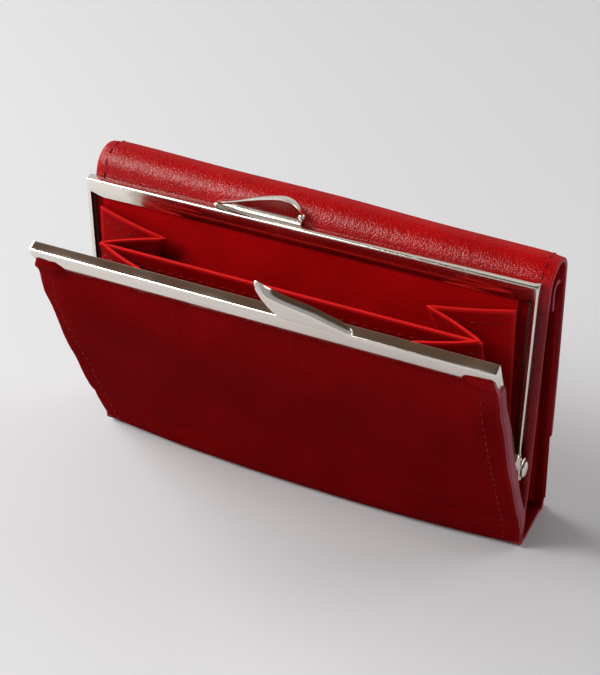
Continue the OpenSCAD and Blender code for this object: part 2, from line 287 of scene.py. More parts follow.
def plated(name, colour, rough):
    """Polished plating with faint hairlines and cloudy wiping marks."""
    material, nodes, links, shader = new_material(name, colour, rough, 1.0)
    hairs = noise(nodes, links, coordinates(nodes, links, "Object", (10, 100, 100)), 9, 2)
    wiped = noise(nodes, links, coordinates(nodes, links, "Object", (1, 1, 1)), 90, 4)
    marks = ramp(nodes, links, wiped, [(0.35, (rough,)), (0.75, (rough + 0.10,))])
    links.new(marks, shader.inputs["Roughness"])
    tint = ramp(nodes, links, hairs, [(0.3, tuple(0.93 * c for c in colour)), (0.7, colour)])
    links.new(tint, shader.inputs["Base Color"])
    return material


nickel = plated("polished_metal", (0.84, 0.79, 0.725), 0.10)
# The paper cord is coloured near black: painted shade for the dark inside of the channel, where the
# cord shows.
paper_cord, nodes, links, shader = new_material("paper_cord", (0.05, 0.02, 0.015), 0.8, 0.0, 0.1)
strands = nodes.new("ShaderNodeTexWave")
strands.inputs["Scale"].default_value = 500
strands.bands_direction = "DIAGONAL"
links.new(coordinates(nodes, links, "Object", (1, 1, 1)), strands.inputs["Vector"])
painted_shade_browns = [(0.2, (0.03, 0.008, 0.006)), (0.8, (0.07, 0.022, 0.016))]
links.new(ramp(nodes, links, strands.outputs["Fac"], painted_shade_browns), shader.inputs["Base Color"])
raised(nodes, links, shader, strands.outputs["Fac"], 0.6, 0.1 * MM)

board, nodes, links, shader = new_material("board", (0.40, 0.33, 0.25), 0.85)
fibres = noise(nodes, links, coordinates(nodes, links, "Object", (1, 4, 1)), 700, 5)
links.new(ramp(nodes, links, fibres, [(0.3, (0.30, 0.24, 0.17)), (0.7, (0.48, 0.41, 0.31))]),
          shader.inputs["Base Color"])
raised(nodes, links, shader, fibres, 0.5, 0.08 * MM)

floor_paper, nodes, links, shader = new_material("floor_paper", (0.62, 0.63, 0.65), 0.7, 0.0, 0.2)
tone = noise(nodes, links, coordinates(nodes, links, "Object", (1, 1, 1)), 1.2, 2)
links.new(ramp(nodes, links, tone, [(0.3, (0.60, 0.61, 0.63)), (0.7, (0.64, 0.65, 0.67))]),
          shader.inputs["Base Color"])
floor.data.materials.append(floor_paper)


def paint(node, material):
    """Gives a CAD node that stays in sight its finish."""
    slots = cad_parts[node].data.materials
    slots.clear()
    slots.append(material)


for node in ("rear_cord", "front_cord"):
    paint(node, paper_cord)
for node in ("front_board", "flap_board", "cover_board"):
    paint(node, board)
print("Finishes:", ", ".join(m.name for m in bpy.data.materials))

# %% [markdown]
# All the soft goods are cut flat and then folded, as a leather worker does it. A grid of
# small squares is stretched to the size of the cut, and each point of it moves to where
# the fold puts it, along a smooth path in Y and Z. Its texture map stays flat and in
# millimetres. A Solidify modifier then gives the thickness, with its own finish on the
# cut edge, and a Bevel takes the sharpness off. A cloth simulation isn't needed, since
# stiff, glued leather keeps the shape that it was pressed in.

# %% Curves and paths
def bump(x, centre, width):
    """A soft bell, 1 at its centre."""
    return math.exp(-((x - centre) / width) ** 2)


def ease(x, low, high):
    """0 below low, 1 above high, smooth between."""
    t = min(max((x - low) / (high - low), 0), 1)
    return t * t * (3 - 2 * t)


def smooth_path(points, step=1.0):
    """Even points along a smooth curve through the given ones, and its length."""
    p = np.array(points, float)
    p = np.vstack([2 * p[0] - p[1], p, 2 * p[-1] - p[-2]])
    curve = []
    for a, b, c, d in zip(p[:-3], p[1:-2], p[2:-1], p[3:]):
        for t in np.linspace(0, 1, 12, endpoint=False):
            curve.append(0.5 * (2 * b + (c - a) * t + (2 * a - 5 * b + 4 * c - d) * t ** 2
                                + (3 * b - a - 3 * c + d) * t ** 3))
    curve = np.array(curve + [p[-2]])
    run = np.concatenate([[0], np.cumsum(np.linalg.norm(np.diff(curve, axis=0), axis=1))])
    even = np.linspace(0, run[-1], max(2, int(run[-1] / step)))
    columns = [np.interp(even, run, curve[:, k]) for k in range(curve.shape[1])]
    return np.column_stack(columns), run[-1]


def at_length(path, length, v):
    """The point at a distance v along an even path."""
    place = min(max(v / length, 0), 1) * (len(path) - 1)
    i = min(int(place), len(path) - 2)
    return path[i] + (path[i + 1] - path[i]) * (place - i)


def direction_at(path, length, v):
    """The direction of an even Y-Z path at a distance v along it, one unit long."""
    step = at_length(path, length, v + 0.7) - at_length(path, length, v - 0.7)
    return step / np.linalg.norm(step)


print("A straight path of 10 mm measures", smooth_path([(0, 0), (10, 0)])[1])


# %% Cutting and folding
def cut_flat(name, width, length, across, along):
    """A flat cut, width by length in mm, divided into squares, its map in mm."""
    clear_selection()
    bpy.ops.mesh.primitive_grid_add(x_subdivisions=across, y_subdivisions=along, size=1)
    piece = bpy.context.object
    piece.name = piece.data.name = name
    for point in piece.data.vertices:
        point.co = (point.co.x * width * MM, (point.co.y + 0.5) * length * MM, 0)
    for loop, uv in zip(piece.data.loops, piece.data.uv_layers.active.data):
        corner = piece.data.vertices[loop.vertex_index].co
        uv.uv = (corner.x / MM, corner.y / MM)
    return piece


def fold(piece, place, wear=None, painted_shade=None):
    """Moves each flat point (u, v) to place(u, v), in mm, notes its wear and its painted
    shade, and measures its area."""
    for name, amount in (("wear", wear), ("painted_shade", painted_shade)):
        values = piece.data.attributes.new(name, "FLOAT", "POINT").data
        for value, point in zip(values, piece.data.vertices):
            value.value = amount(point.co.x / MM, point.co.y / MM) if amount else 0.0
    for point in piece.data.vertices:
        point.co = mm(*place(point.co.x / MM, point.co.y / MM))
    piece.data.update()
    return sum(face.area for face in piece.data.polygons)


def finish_modifiers(piece):
    """Applies all of a piece's modifiers, from the first to the last."""
    clear_selection()
    piece.select_set(True)
    bpy.context.view_layer.objects.active = piece
    for modifier in list(piece.modifiers):
        bpy.ops.object.modifier_apply(modifier=modifier.name)


def thicken(piece, thickness, finish, edge, soften=0.25):
    """Gives a folded sheet its thickness, its finish and a softened cut edge."""
    piece.data.materials.append(finish)
    piece.data.materials.append(edge)
    wall = piece.modifiers.new("thickness", "SOLIDIFY")
    wall.thickness, wall.offset = thickness * MM, 0
    wall.material_offset_rim = 1
    rounding = piece.modifiers.new("rounding", "BEVEL")
    rounding.width, rounding.segments = soften * thickness * MM, 2
    rounding.limit_method, rounding.angle_limit = "ANGLE", math.radians(55)
    finish_modifiers(piece)
    bpy.ops.object.mode_set(mode="EDIT")
    bpy.ops.mesh.select_all(action="SELECT")
    bpy.ops.mesh.normals_make_consistent(inside=False)
    bpy.ops.object.mode_set(mode="OBJECT")
    bpy.ops.object.shade_smooth_by_angle(angle=math.radians(50))


def join(piece, others):
    """Joins other objects into a piece."""
    clear_selection()
    for other in [*others, piece]:
        other.select_set(True)
    bpy.context.view_layer.objects.active = piece
    bpy.ops.object.join()


# %% [markdown]
# Stitches are real threads, since they catch the light along every seam. One stitch is
# shaped from a small ball, stretched and pressed flat, and copied along each seam line,
# lying on the surface and a little sunk into it.

# %% One stitch
clear_selection()
bpy.ops.mesh.primitive_uv_sphere_add(segments=8, ring_count=5, radius=0.5 * MM)
stitch_model = bpy.context.object
stitch_model.name = "stitch_model"
bpy.ops.object.mode_set(mode="EDIT")
bpy.ops.mesh.select_all(action="SELECT")
bpy.ops.transform.resize(value=(1.9, 0.42, 0.36))
bpy.ops.object.mode_set(mode="OBJECT")
bpy.ops.object.shade_smooth()
stitch_model.data.materials.append(thread)
STITCH_PITCH = 2.9


def sew(piece, place, start, end, lift):
    """Lays stitches on the folded sheet from start to end, given on its flat cut."""
    start, end = np.array(start, float), np.array(end, float)
    count = max(1, int(np.linalg.norm(end - start) / STITCH_PITCH))
    heading = (end - start) / np.linalg.norm(end - start)
    sideways = np.array([-heading[1], heading[0]])
    stitches = []
    for i in range(count):
        flat = start + (end - start) * (i + 0.5) / count
        spot = Vector(place(*flat))
        along = Vector(place(*(flat + 0.4 * heading))) - Vector(place(*(flat - 0.4 * heading)))
        along.normalize()
        across = Vector(place(*(flat + 0.4 * sideways))) - Vector(place(*(flat - 0.4 * sideways)))
        up = along.cross(across).normalized()
        across = up.cross(along)
        stitch = stitch_model.copy()
        stitch.data = stitch_model.data.copy()
        bpy.context.collection.objects.link(stitch)
        turned = Matrix((along, across, up)).transposed().to_4x4()
        stitch.matrix_world = Matrix.Translation((spot + up * lift) * MM) @ turned
        stitches.append(stitch)
    join(piece, stitches)
    return count


# %% [markdown]
# Metal is worked in edit mode, where operators act on what is selected. These helpers
# select by place or by normal, because nobody clicks here, and cut a whole mesh with a
# plane.

# %% Selecting and slicing


def edit(piece):
    """Enters edit mode on one piece with nothing selected."""
    clear_selection()
    piece.select_set(True)
    bpy.context.view_layer.objects.active = piece
    bpy.ops.object.mode_set(mode="EDIT")
    bpy.ops.mesh.select_all(action="DESELECT")


def choose(piece, kind, test):
    """In edit mode, selects the vertices, edges or faces whose middle passes the test."""
    bpy.ops.mesh.select_mode(type=kind)
    bpy.ops.mesh.select_all(action="DESELECT")
    bpy.ops.object.mode_set(mode="OBJECT")
    mesh = piece.data
    parts = {"VERT": mesh.vertices, "EDGE": mesh.edges, "FACE": mesh.polygons}[kind]
    for part in parts:
        corners = [part.co] if kind == "VERT" else [mesh.vertices[i].co for i in part.vertices]
        middle = sum(corners, Vector()) / len(corners) / MM
        part.select = bool(test(middle, part))
    bpy.ops.object.mode_set(mode="EDIT")


def slice_at(spot, normal):
    """Cuts the whole mesh with a plane through spot, in mm."""
    bpy.ops.mesh.select_all(action="SELECT")
    bpy.ops.mesh.bisect(plane_co=mm(*spot), plane_no=normal)


print("Helpers for edit mode are ready")

# %% [markdown]
# The two frames are channels of sheet metal, and the leather is pressed into them round
# a paper cord. Each half starts as a box, open below. It is sliced where its walls end,
# the middle of both walls is deleted, the long outer corners are rounded with a bevel,
# and Solidify gives the metal its thickness. The front half's outer wall is taller than
# the rear one's. The walls curve up at the corners of the mouth, which is where the
# leather puckers out.

# %% A frame half
FRAME_W, FRAME_H, ARM_END = 120, 51.4, 3.4
GAP, BAR_D, BAR_H, FACE_H, METAL = 0.1, 2.9, 4.4, 6.4, 0.5
CLOSE = 0.01


def frame_half(name, face_y, face_h, rise, arm_wall, reach):
    """A bar with two arms, its depth along +Y. The wall at face_y is face_h tall and shows
    its rounded edge. Its lower edge rises towards the arms, over the last reach mm."""
    clear_selection()
    middle = mm(0, GAP + BAR_D / 2, (ARM_END + FRAME_H) / 2)
    bpy.ops.mesh.primitive_cube_add(size=1, location=middle,
                                    scale=mm(FRAME_W, BAR_D, FRAME_H - ARM_END))
    half = bpy.context.object
    half.name = half.data.name = name
    bpy.ops.object.transform_apply(location=True, scale=True)
    edit(half)
    wall_low, face_low = FRAME_H - BAR_H, FRAME_H - face_h
    opening, hidden_opening = FRAME_W / 2 - arm_wall, FRAME_W / 2 - BAR_H
    for x in [hidden_opening] + [opening - reach * i / 8 for i in range(9)]:
        for side in (-1, 1):
            slice_at((side * x, 0, 0), (1, 0, 0))
    for low in sorted({wall_low, face_low}):
        slice_at((0, 0, low), (0, 0, 1))

    def is_open(c, f):
        """The open foot of the channel, and the middle of its two walls."""
        if abs(f.normal.z) > 0.5:
            return c.z < ARM_END + 1
        if abs(c.y - face_y) < CLOSE:
            return abs(f.normal.y) > 0.5 and c.z < face_low and abs(c.x) < opening
        return abs(f.normal.y) > 0.5 and c.z < wall_low and abs(c.x) < hidden_opening

    choose(half, "FACE", is_open)
    bpy.ops.mesh.delete(type="FACE")
    bpy.ops.object.mode_set(mode="OBJECT")
    for point in half.data.vertices:
        x, y, z = point.co / MM
        if abs(y - face_y) > CLOSE:
            continue
        lifted = rise * ease(abs(x), opening - reach, opening) * MM
        if abs(z - face_low) < CLOSE and abs(x) < opening + 0.1:
            point.co.z += lifted
        elif abs(z - wall_low) < CLOSE and face_low < wall_low - CLOSE:
            point.co.z += 0.75 * lifted
    edit(half)
    choose(half, "EDGE", lambda c, e: abs(c.y - face_y) < CLOSE
           and (abs(c.z - FRAME_H) < CLOSE or abs(abs(c.x) - FRAME_W / 2) < CLOSE))
    bpy.ops.mesh.bevel(offset=0.45 * MM, segments=6, profile=0.5)
    bpy.ops.mesh.select_all(action="DESELECT")
    bpy.ops.mesh.edges_select_sharp(sharpness=math.radians(60))
    bpy.ops.mesh.bevel(offset=0.2 * MM, segments=2, profile=0.5)
    bpy.ops.object.mode_set(mode="OBJECT")
    wall = half.modifiers.new("metal", "SOLIDIFY")
    wall.thickness, wall.offset = METAL * MM, -1
    rim = half.modifiers.new("rim", "BEVEL")
    rim.width, rim.segments, rim.limit_method = 0.1 * MM, 2, "ANGLE"
    rim.angle_limit = math.radians(50)
    finish_modifiers(half)
    return half


print("A frame half is", FRAME_W, "mm wide and", round(FRAME_H - ARM_END, 1), "mm tall")

# %% [markdown]
# Each arm ends in a round ear on a waisted stem, and the rivet goes through the ear. The
# ear is a disc with a bevelled rim. The stem is a block that is subdivided and drawn in
# at its middle. The front ears lie outside the rear ones, so their arms need a step.

# %% Ears
EAR_R, STEM_Y, STEM_LONG = 3, 1.55, 6.5


def ear(x, thickness):
    """A round ear at the pivot with its stem, from a disc and a block."""
    clear_selection()
    turn = (0, math.pi / 2, 0)
    bpy.ops.mesh.primitive_cylinder_add(vertices=40, radius=EAR_R * MM, depth=thickness * MM,
                                        location=mm(x, 0, 0), rotation=turn)
    disc = bpy.context.object
    bpy.ops.object.transform_apply(location=True, rotation=True)
    edit(disc)
    choose(disc, "FACE", lambda c, f: abs(f.normal.x) > 0.9)
    bpy.ops.mesh.bevel(offset=0.25 * MM, segments=3)
    clear_selection()
    bpy.ops.mesh.primitive_cube_add(size=1, location=mm(x, STEM_Y, 3.5),
                                    scale=mm(thickness, 2.6, STEM_LONG))
    stem = bpy.context.object
    bpy.ops.object.transform_apply(location=True, scale=True)
    edit(stem)
    bpy.ops.mesh.select_all(action="SELECT")
    bpy.ops.mesh.subdivide(number_cuts=3)
    bpy.ops.object.mode_set(mode="OBJECT")
    for point in stem.data.vertices:
        waist = 1 - 0.35 * math.sin(math.pi * (point.co.z / MM - 0.25) / STEM_LONG)
        point.co.y = (STEM_Y + (point.co.y / MM - STEM_Y) * waist) * MM
    edges = stem.modifiers.new("edges", "BEVEL")
    edges.width, edges.segments, edges.limit_method = 0.25 * MM, 3, "ANGLE"
    finish_modifiers(stem)
    join(disc, [stem])
    return disc


print("An ear is", 2 * EAR_R, "mm across")

# %% [markdown]
# Both halves are made in the frame's own place, with the pivot at the origin, and then
# set in. The rear one stands upright. The front one is its mirror image, turned open
# about the rivets, and its arms step out over the rear ears.

# %% Both frames
PIVOT_Y, PIVOT_Z = -10, 28.4
OPEN = math.radians(27.5)


def finish_metal(piece):
    """Recalculates normals, smooths and plates a metal piece."""
    edit(piece)
    bpy.ops.mesh.select_all(action="SELECT")
    bpy.ops.mesh.normals_make_consistent(inside=False)
    bpy.ops.object.mode_set(mode="OBJECT")
    bpy.ops.object.shade_smooth_by_angle(angle=math.radians(35))
    piece.data.materials.clear()
    piece.data.materials.append(nickel)


REAR = Matrix.Translation(mm(0, PIVOT_Y, PIVOT_Z))
FRONT = REAR @ Matrix.Rotation(OPEN, 4, "X") @ Matrix.Scale(-1, 4, (0, 1, 0))


def set_in(piece, where):
    """Moves a piece from the frame's own place to where it stands."""
    piece.data.transform(where)
    if where.determinant() < 0:
        piece.data.flip_normals()


rear_metal = frame_half("rear_frame_metal", GAP, BAR_H, 0.9, 1.2, 4)
join(rear_metal, [ear(side * (FRAME_W / 2 - 0.5), 1) for side in (-1, 1)])
set_in(rear_metal, REAR)
finish_metal(rear_metal)
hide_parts("rear_frame")
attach(rear_metal, "root")

front_metal = frame_half("front_frame_metal", GAP + BAR_D, FACE_H, 3.4, 0.9, 9)
joggles = []
for side in (-1, 1):
    clear_selection()
    step_at = mm(side * (FRAME_W / 2 + 0.1), GAP + BAR_D / 2, 6.6)
    bpy.ops.mesh.primitive_cube_add(size=1, location=step_at, scale=mm(1.9, 2.6, 4))
    joggle = bpy.context.object
    bpy.ops.object.transform_apply(location=True, scale=True)
    edges = joggle.modifiers.new("edges", "BEVEL")
    edges.width, edges.segments = 0.45 * MM, 4
    finish_modifiers(joggle)
    joggles.append(joggle)
join(front_metal, [ear(side * (FRAME_W / 2 + 0.6), 1) for side in (-1, 1)] + joggles)
set_in(front_metal, FRONT)
finish_metal(front_metal)
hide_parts("front_frame")
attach(front_metal, "front_frame_body")
print("Frames:", len(rear_metal.data.polygons), "and", len(front_metal.data.polygons), "faces")

# %% [markdown]
# Rivets and press-stud parts are turned pieces. Each starts as a disc, and is extruded
# and resized from ring to ring, as if on a lathe.

# %% Turned pieces: rivets
def turned(name, rings, where):
    """A turned piece from rings (radius, height) along Z, set in by a matrix."""
    clear_selection()
    bpy.ops.mesh.primitive_circle_add(vertices=40, radius=rings[0][0] * MM, fill_type="NGON",
                                      location=mm(0, 0, rings[0][1]))
    piece = bpy.context.object
    piece.name = piece.data.name = name
    bpy.ops.object.transform_apply(location=True)
    edit(piece)
    bpy.ops.mesh.select_all(action="SELECT")
    for (r0, z0), (r1, z1) in zip(rings, rings[1:]):
        bpy.ops.mesh.extrude_region_move(TRANSFORM_OT_translate={"value": mm(0, 0, z1 - z0)})
        bpy.ops.transform.resize(value=(r1 / r0, r1 / r0, 1), center_override=mm(0, 0, z1))
    bpy.ops.object.mode_set(mode="OBJECT")
    piece.data.transform(where)
    return piece


RIVET = [(1.2, -0.78), (1.7, -0.68), (2.05, -0.4), (2.1, 0), (0.95, 0.02), (0.95, 2.13),
         (2.1, 2.15), (2.05, 2.5), (1.75, 2.78), (1.3, 2.92), (0.6, 2.97)]
rivets = []
for side in (-1, 1):
    inner_face = Matrix.Translation(mm(side * (FRAME_W / 2 - 1), 0, 0))
    lie = inner_face @ Matrix.Rotation(side * math.pi / 2, 4, "Y")
    rivets.append(turned("hinge_rivet_pair", RIVET, REAR @ lie))
join(rivets[0], rivets[1:])
finish_metal(rivets[0])
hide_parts("hinge_rivets")
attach(rivets[0], "root")
print("Rivets turned, each from", len(RIVET), "rings")

# %% [markdown]
# The tongues of the clasp are cut from thicker sheet, with a flange folded over along
# the upper edge, where the thumb presses. They are made as the leather is, flat and then
# folded: across the cut runs first the flange, then the fold, then the plate down to
# the bar. The rear tongue ends in a small bead that snaps past the other.

# %% Clasp tongues
PLATE, FOLD_R, PLATE_Y = 9, 0.35, GAP + BAR_D - 0.35


def tongue(name, top, flange, lean, tip_width):
    """A tongue along its upper edge (x, height above the bar); flange is its depth."""
    path, length = smooth_path(top, 0.5)
    piece = cut_flat(name, length, flange + PLATE, 56, 22)

    def place(u, v):
        s = u + length / 2
        x, rise = at_length(path, length, s)
        t = s / length
        narrowed = tip_width + (1 - tip_width) * min(1, (1 - t) * 5) ** 0.7
        depth = flange * narrowed * min(1, 0.55 + t * 4)
        if v < flange:
            share = 1 - v / flange
            return x, PLATE_Y - depth * share, FRAME_H + rise - FOLD_R * (1 - share) ** 3
        drop = (v - flange) / PLATE * (rise - 0.05)
        z = FRAME_H + rise - FOLD_R - drop * 0.96
        return x + lean(t) * drop * drop / rise, PLATE_Y + 0.12 * min(drop, 1.0), z

    fold(piece, place)
    wall = piece.modifiers.new("metal", "SOLIDIFY")
    wall.thickness, wall.offset = 0.6 * MM, 0
    edges = piece.modifiers.new("edges", "BEVEL")
    edges.width, edges.segments, edges.limit_method = 0.16 * MM, 3, "ANGLE"
    edges.angle_limit = math.radians(50)
    finish_modifiers(piece)
    return piece


rear_top = [(-23.4, 0.3), (-22.4, 1.5), (-18, 2.9), (-13, 4.6), (-8, 6.1), (-4.4, 6.8),
            (-2.2, 6.3), (-0.7, 4.9), (0.2, 3.0)]
rear_tongue = tongue("rear_clasp_metal", rear_top, 2.5, lambda t: -0.9 * max(0, t - 0.72), 0.45)
clear_selection()
bpy.ops.mesh.primitive_uv_sphere_add(segments=24, ring_count=16, radius=0.85 * MM,
                                     location=mm(0.1, GAP + 1.9, FRAME_H + 2.5))
bead = bpy.context.object
bpy.ops.object.transform_apply(location=True)
join(rear_tongue, [bead])
set_in(rear_tongue, REAR)
finish_metal(rear_tongue)
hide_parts("rear_clasp")
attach(rear_tongue, "root")

front_top = [(25.8, 0.3), (25, 0.9), (20, 3.2), (16.3, 5), (12, 6.3), (9.2, 7.2), (7, 8.4),
             (5.6, 10.2), (4.8, 12)]
front_tongue = tongue("front_clasp_metal", front_top, 1.8, lambda t: 0.27 * ease(t, 0.55, 1.0), 0.5)
set_in(front_tongue, FRONT)
finish_metal(front_tongue)
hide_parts("front_clasp")
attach(front_tongue, "front_frame_body")
print("Tongues:", len(rear_tongue.data.polygons), "and", len(front_tongue.data.polygons), "faces")

# %% [markdown]
# The front of the coin pocket is one skin, from the front channel down over the panel,
# round the base and back to the spine. Its sides are turned in to a thick hem and sewn.
# It is full in the middle and pinched at the lower corners, and it puckers out below the
# ends of the bar, where it leaves the channel.

# %% Front leather
def front_at(n, s):
    """(Y, Z) of a point n forward of the closing plane and s up from the pivot."""
    return (PIVOT_Y - n * math.cos(OPEN) - s * math.sin(OPEN),
            PIVOT_Z + s * math.cos(OPEN) - n * math.sin(OPEN))


panel_path = [front_at(n, s) for n, s in (
    (1.85, 49.6), (1.85, 45.8), (2.2, 44.4), (3.4, 42.4), (5.1, 39.2), (6.6, 35), (7.4, 28),
    (7.5, 20), (7.4, 12), (7.3, 6))]
panel_path += [(-17.1, 25.2), (-15.0, 19), (-13.0, 12.5), (-11.5, 7), (-10.2, 3.0), (-8.6, 1.1),
               (-6, 0.65), (-2, 0.6), (4, 0.6), (9.2, 0.6)]
panel_curve, panel_length = smooth_path(panel_path)
PANEL_W, SKIN = 124, 1.2
ON_SKIN = SKIN / 2 + 0.02
PANEL_SEAM_X = 57.6
PINCH = 3.6
base_start = panel_length - 17


def corner_pinch(u, z):
    """The share, 0 to 1, by which the pocket's lower corners are pressed back."""
    return (abs(u) / (PANEL_W / 2)) ** 2.4 * (1 - ease(z, 2, 26))


def panel_place(u, v, back=0.0):
    """Where the front leather lies; back is a depth behind it, for the turned edge."""
    y, z = at_length(panel_curve, panel_length, v)
    along = direction_at(panel_curve, panel_length, v)
    outward = np.array([along[1], -along[0]])
    side = abs(u) / (PANEL_W / 2)
    pinch = PINCH * corner_pinch(u, z)
    shift = 1.9 * ease(abs(u), 52, 57) * bump(v, 4.0, 2.5)
    shift += 0.35 * ease(abs(u), 48, 54) * math.sin(u * 2.3 + 0.4 * v) * bump(v, 5.6, 2.6)
    shift -= 2.2 * ease(abs(u), 54.5, 62) * bump(v, 21, 12)
    shift += 0.5 * math.cos(min(side, 1) * math.pi / 2) * ease(v, 12, 30) * (1 - ease(v, 45, 60))
    shift -= 0.35 * bump(v, 62 + 5 * (1 - side ** 2), 1.6) * ease(side, 0.1, 0.5)
    x = u * (0.952 + 0.018 * ease(v, 1, 5) + 0.030 * min(max((v - 5) / 55, 0), 1))
    x *= 1 - 0.008 * bump(z, 3, 3) * (1 if v > 50 else 0)
    y += outward[0] * (shift - back) + pinch
    z += outward[1] * (shift - back)
    return x, y, max(z, 0.6)


def panel_wear(u, v):
    return 0.35 * ease(abs(u), 60.6, 62) + 0.25 * bump(abs(u), 60, 4) * bump(v, 6, 4)


panel = cut_flat("front_leather", PANEL_W, panel_length, 96, 92)
fold(panel, panel_place, panel_wear)
# The front leather takes the darker copy of the red, which is painted shade.
thicken(panel, SKIN, red_leather, leather_edge)
stitch_count = 0
for side in (-1, 1):
    seam_x = side * PANEL_SEAM_X
    stitch_count += sew(panel, panel_place, (seam_x, 8.5), (seam_x, base_start), -ON_SKIN)
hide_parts("front_panel", "front_fold", "base_wrap")
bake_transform(panel)
print("Front leather", PANEL_W, "by", round(panel_length), "mm, with", stitch_count, "stitches")

# %% [markdown]
# The sides of the front leather are turned in and glued, which shows as a pale rounded
# edge. Each turned edge is a strip of its own. It follows the leather's side inwards to
# its depth, and then runs a little way behind it.

# %% Turned side edges of the front leather
HEM_W, HEM_BACK = 1.6, 2.5


def hem(name, side, place, start, end, back, finish):
    """The edge turned in behind the leather: down the side and a strip inwards."""
    strip = cut_flat(name, HEM_W + back, end - start, 8, 60)

    def hem_place(u, v):
        across = u + (HEM_W + back) / 2
        v += start
        fade = ease(end - v, 0, 6)
        if across < back:
            drawn_in = 0.15 * math.sin(math.pi * across / back)
            return place(side * (PANEL_W / 2 - drawn_in), v, across * fade)
        return place(side * (PANEL_W / 2 - (across - back)), v, back * fade)

    fold(strip, hem_place)
    thicken(strip, 0.9, finish, leather_edge)
    return strip


for side, name in ((-1, "left"), (1, "right")):
    hemmed = hem(f"front_hem_{name}", side, panel_place, 6, base_start - 5, HEM_BACK, leather_edge)
    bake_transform(hemmed)
print("Hems of", HEM_W, "mm")

# %% [markdown]
# The back of the coin pocket, the roll and the flap are one long skin too. It hangs from
# the roll on both sides: in front against the pocket, and behind as the flap.

# %% Back, roll and flap
def arc(centre, radius, start, end, count):
    """Points on an arc in Y and Z, angles in degrees from +Y towards +Z."""
    angles = [math.radians(a) for a in np.linspace(start, end, count)]
    return [(centre[0] + radius * math.cos(a), centre[1] + radius * math.sin(a)) for a in angles]


FLAP_W, SEAM_X = PANEL_W, 59.2
flap_path = [(-6.6, 1.6), (-6.1, 20), (-6.1, 34), (-6.3, 50), (-6.3, 70)]
flap_path += arc((-0.1, 77.8), 6.2, 175, 0, 14) + [(6.9, 70), (8.6, 54), (10.2, 38), (11.4, 24)]
flap_curve, flap_length = smooth_path(flap_path)


def flap_place(u, v):
    """Where the back, the roll and the flap lie."""
    y, z = at_length(flap_curve, flap_length, v)
    along = direction_at(flap_curve, flap_length, v)
    outward = np.array([-along[1], along[0]])
    side = abs(u) / (FLAP_W / 2)
    shift = 0.25 * math.cos(side * math.pi / 2) * bump(v, 90, 12)
    shift -= 0.5 * ease(side, 0.93, 1.0) * bump(v, 86, 10)
    shift += 0.12 * math.sin(u * 0.11 + 1.3) * bump(v, 88, 8)
    over = ease(v, 30, 75)
    x = u * (1 - 0.025 * over) + 1.5 * over
    uneven = (-0.3 - 3.4 * u / FLAP_W) * ease(v, 68, 84) * (1 - ease(v, 95, 140))
    return x, y + outward[0] * shift, z + outward[1] * shift + uneven


def flap_wear(u, v):
    return 0.3 * ease(abs(u), 61, 62) + 0.35 * ease(v, flap_length - 1.5, flap_length)


flap = cut_flat("back_and_flap_leather", FLAP_W, flap_length, 64, 120)
# Painted shade darkens the back below the roll and the hanging flap, so that only the roll keeps
# its brighter painted light.
fold(flap, flap_place, flap_wear, lambda u, v: 1 - ease(v, 69, 74) + ease(v, 90, 116))
thicken(flap, SKIN, roll_leather_painted_light, leather_edge)
flap_end = flap_length - 3
stitch_count = sew(flap, flap_place, (-SEAM_X, 70), (-SEAM_X, flap_end), ON_SKIN)
stitch_count += sew(flap, flap_place, (SEAM_X, 70), (SEAM_X, flap_end), ON_SKIN)
stitch_count += sew(flap, flap_place, (-SEAM_X, flap_end), (SEAM_X, flap_end), ON_SKIN)
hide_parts("back_panel", "top_roll", "roll_fold", "flap_leather")
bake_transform(flap)
print("Back and flap", FLAP_W, "by", round(flap_length), "mm, with", stitch_count, "stitches")

# %% [markdown]
# The cover is a stiff board wrapped in leather. The skin comes from the spine, up the
# back, round a full soft top and a little way down inside, over the lining.

# %% Cover and spine
COVER_H, COVER_DEPTH, COVER_LEAN = 73, 3.8, 8
LEAN = math.radians(COVER_LEAN)


def on_cover(s, d):
    """(Y, Z) of a point s up the cover and d in from its outer skin."""
    return (11 - s * math.sin(LEAN) - d * math.cos(LEAN),
            3 + s * math.cos(LEAN) - d * math.sin(LEAN))


cover_path = [(9.2, 0.6)] + arc((9.4, 2.2), 1.6, -70, 0, 4)
cover_path += [on_cover(s, 0) for s in (1.5, 10, 30, 50, 66)]
round_top = COVER_DEPTH / 2
cover_path += [on_cover(COVER_H + round_top * math.sin(math.radians(a)),
                        round_top - round_top * math.cos(math.radians(a)))
               for a in (0, 30, 60, 90, 120, 150, 180)]
cover_path += [on_cover(COVER_H - 5, COVER_DEPTH)]
cover_curve, cover_length = smooth_path(cover_path)


def cover_place(u, v, back=0.0):
    """Where the skin of the cover lies; back is a depth inside it."""
    y, z = at_length(cover_curve, cover_length, v)
    along = direction_at(cover_curve, cover_length, v)
    return u, y - along[1] * back, z + along[0] * back


cover = cut_flat("cover_leather_skin", PANEL_W, cover_length, 48, 96)
fold(cover, cover_place, lambda u, v: 0.35 * ease(abs(u), 61, 62))
# The cover takes the darker copy of the red, which is painted shade.
thicken(cover, SKIN, red_leather, leather_edge)
stitch_count = sew(cover, cover_place, (-SEAM_X, 6), (-SEAM_X, cover_length - 14), -ON_SKIN)
stitch_count += sew(cover, cover_place, (SEAM_X, 6), (SEAM_X, cover_length - 14), -ON_SKIN)
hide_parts("cover_leather", "spine_fold")
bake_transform(cover)
for side, name in ((-1, "left"), (1, "right")):
    hemmed = hem(f"cover_hem_{name}", side, cover_place, 5, cover_length - 10, 2.6, red_leather)
    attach(hemmed, "cover_body")
print("Cover skin", PANEL_W, "by", round(cover_length), "mm, with", stitch_count, "stitches")

# %% [markdown]
# Inside, the sheets are thinner: the linings of the pocket, the flap and the cover, three
# card pockets, and the divider. Each one follows its own line, and only the divider
# swings by itself.

# %% Linings, card pockets and divider
LINING = 0.5
inner_edge = leather("inner_edge", (0.46, 0.005, 0.006), (0.56, 0.008, 0.008),
                     (0.6, 0.012, 0.010), 0.5, 0.3, 0.02, 0.03)


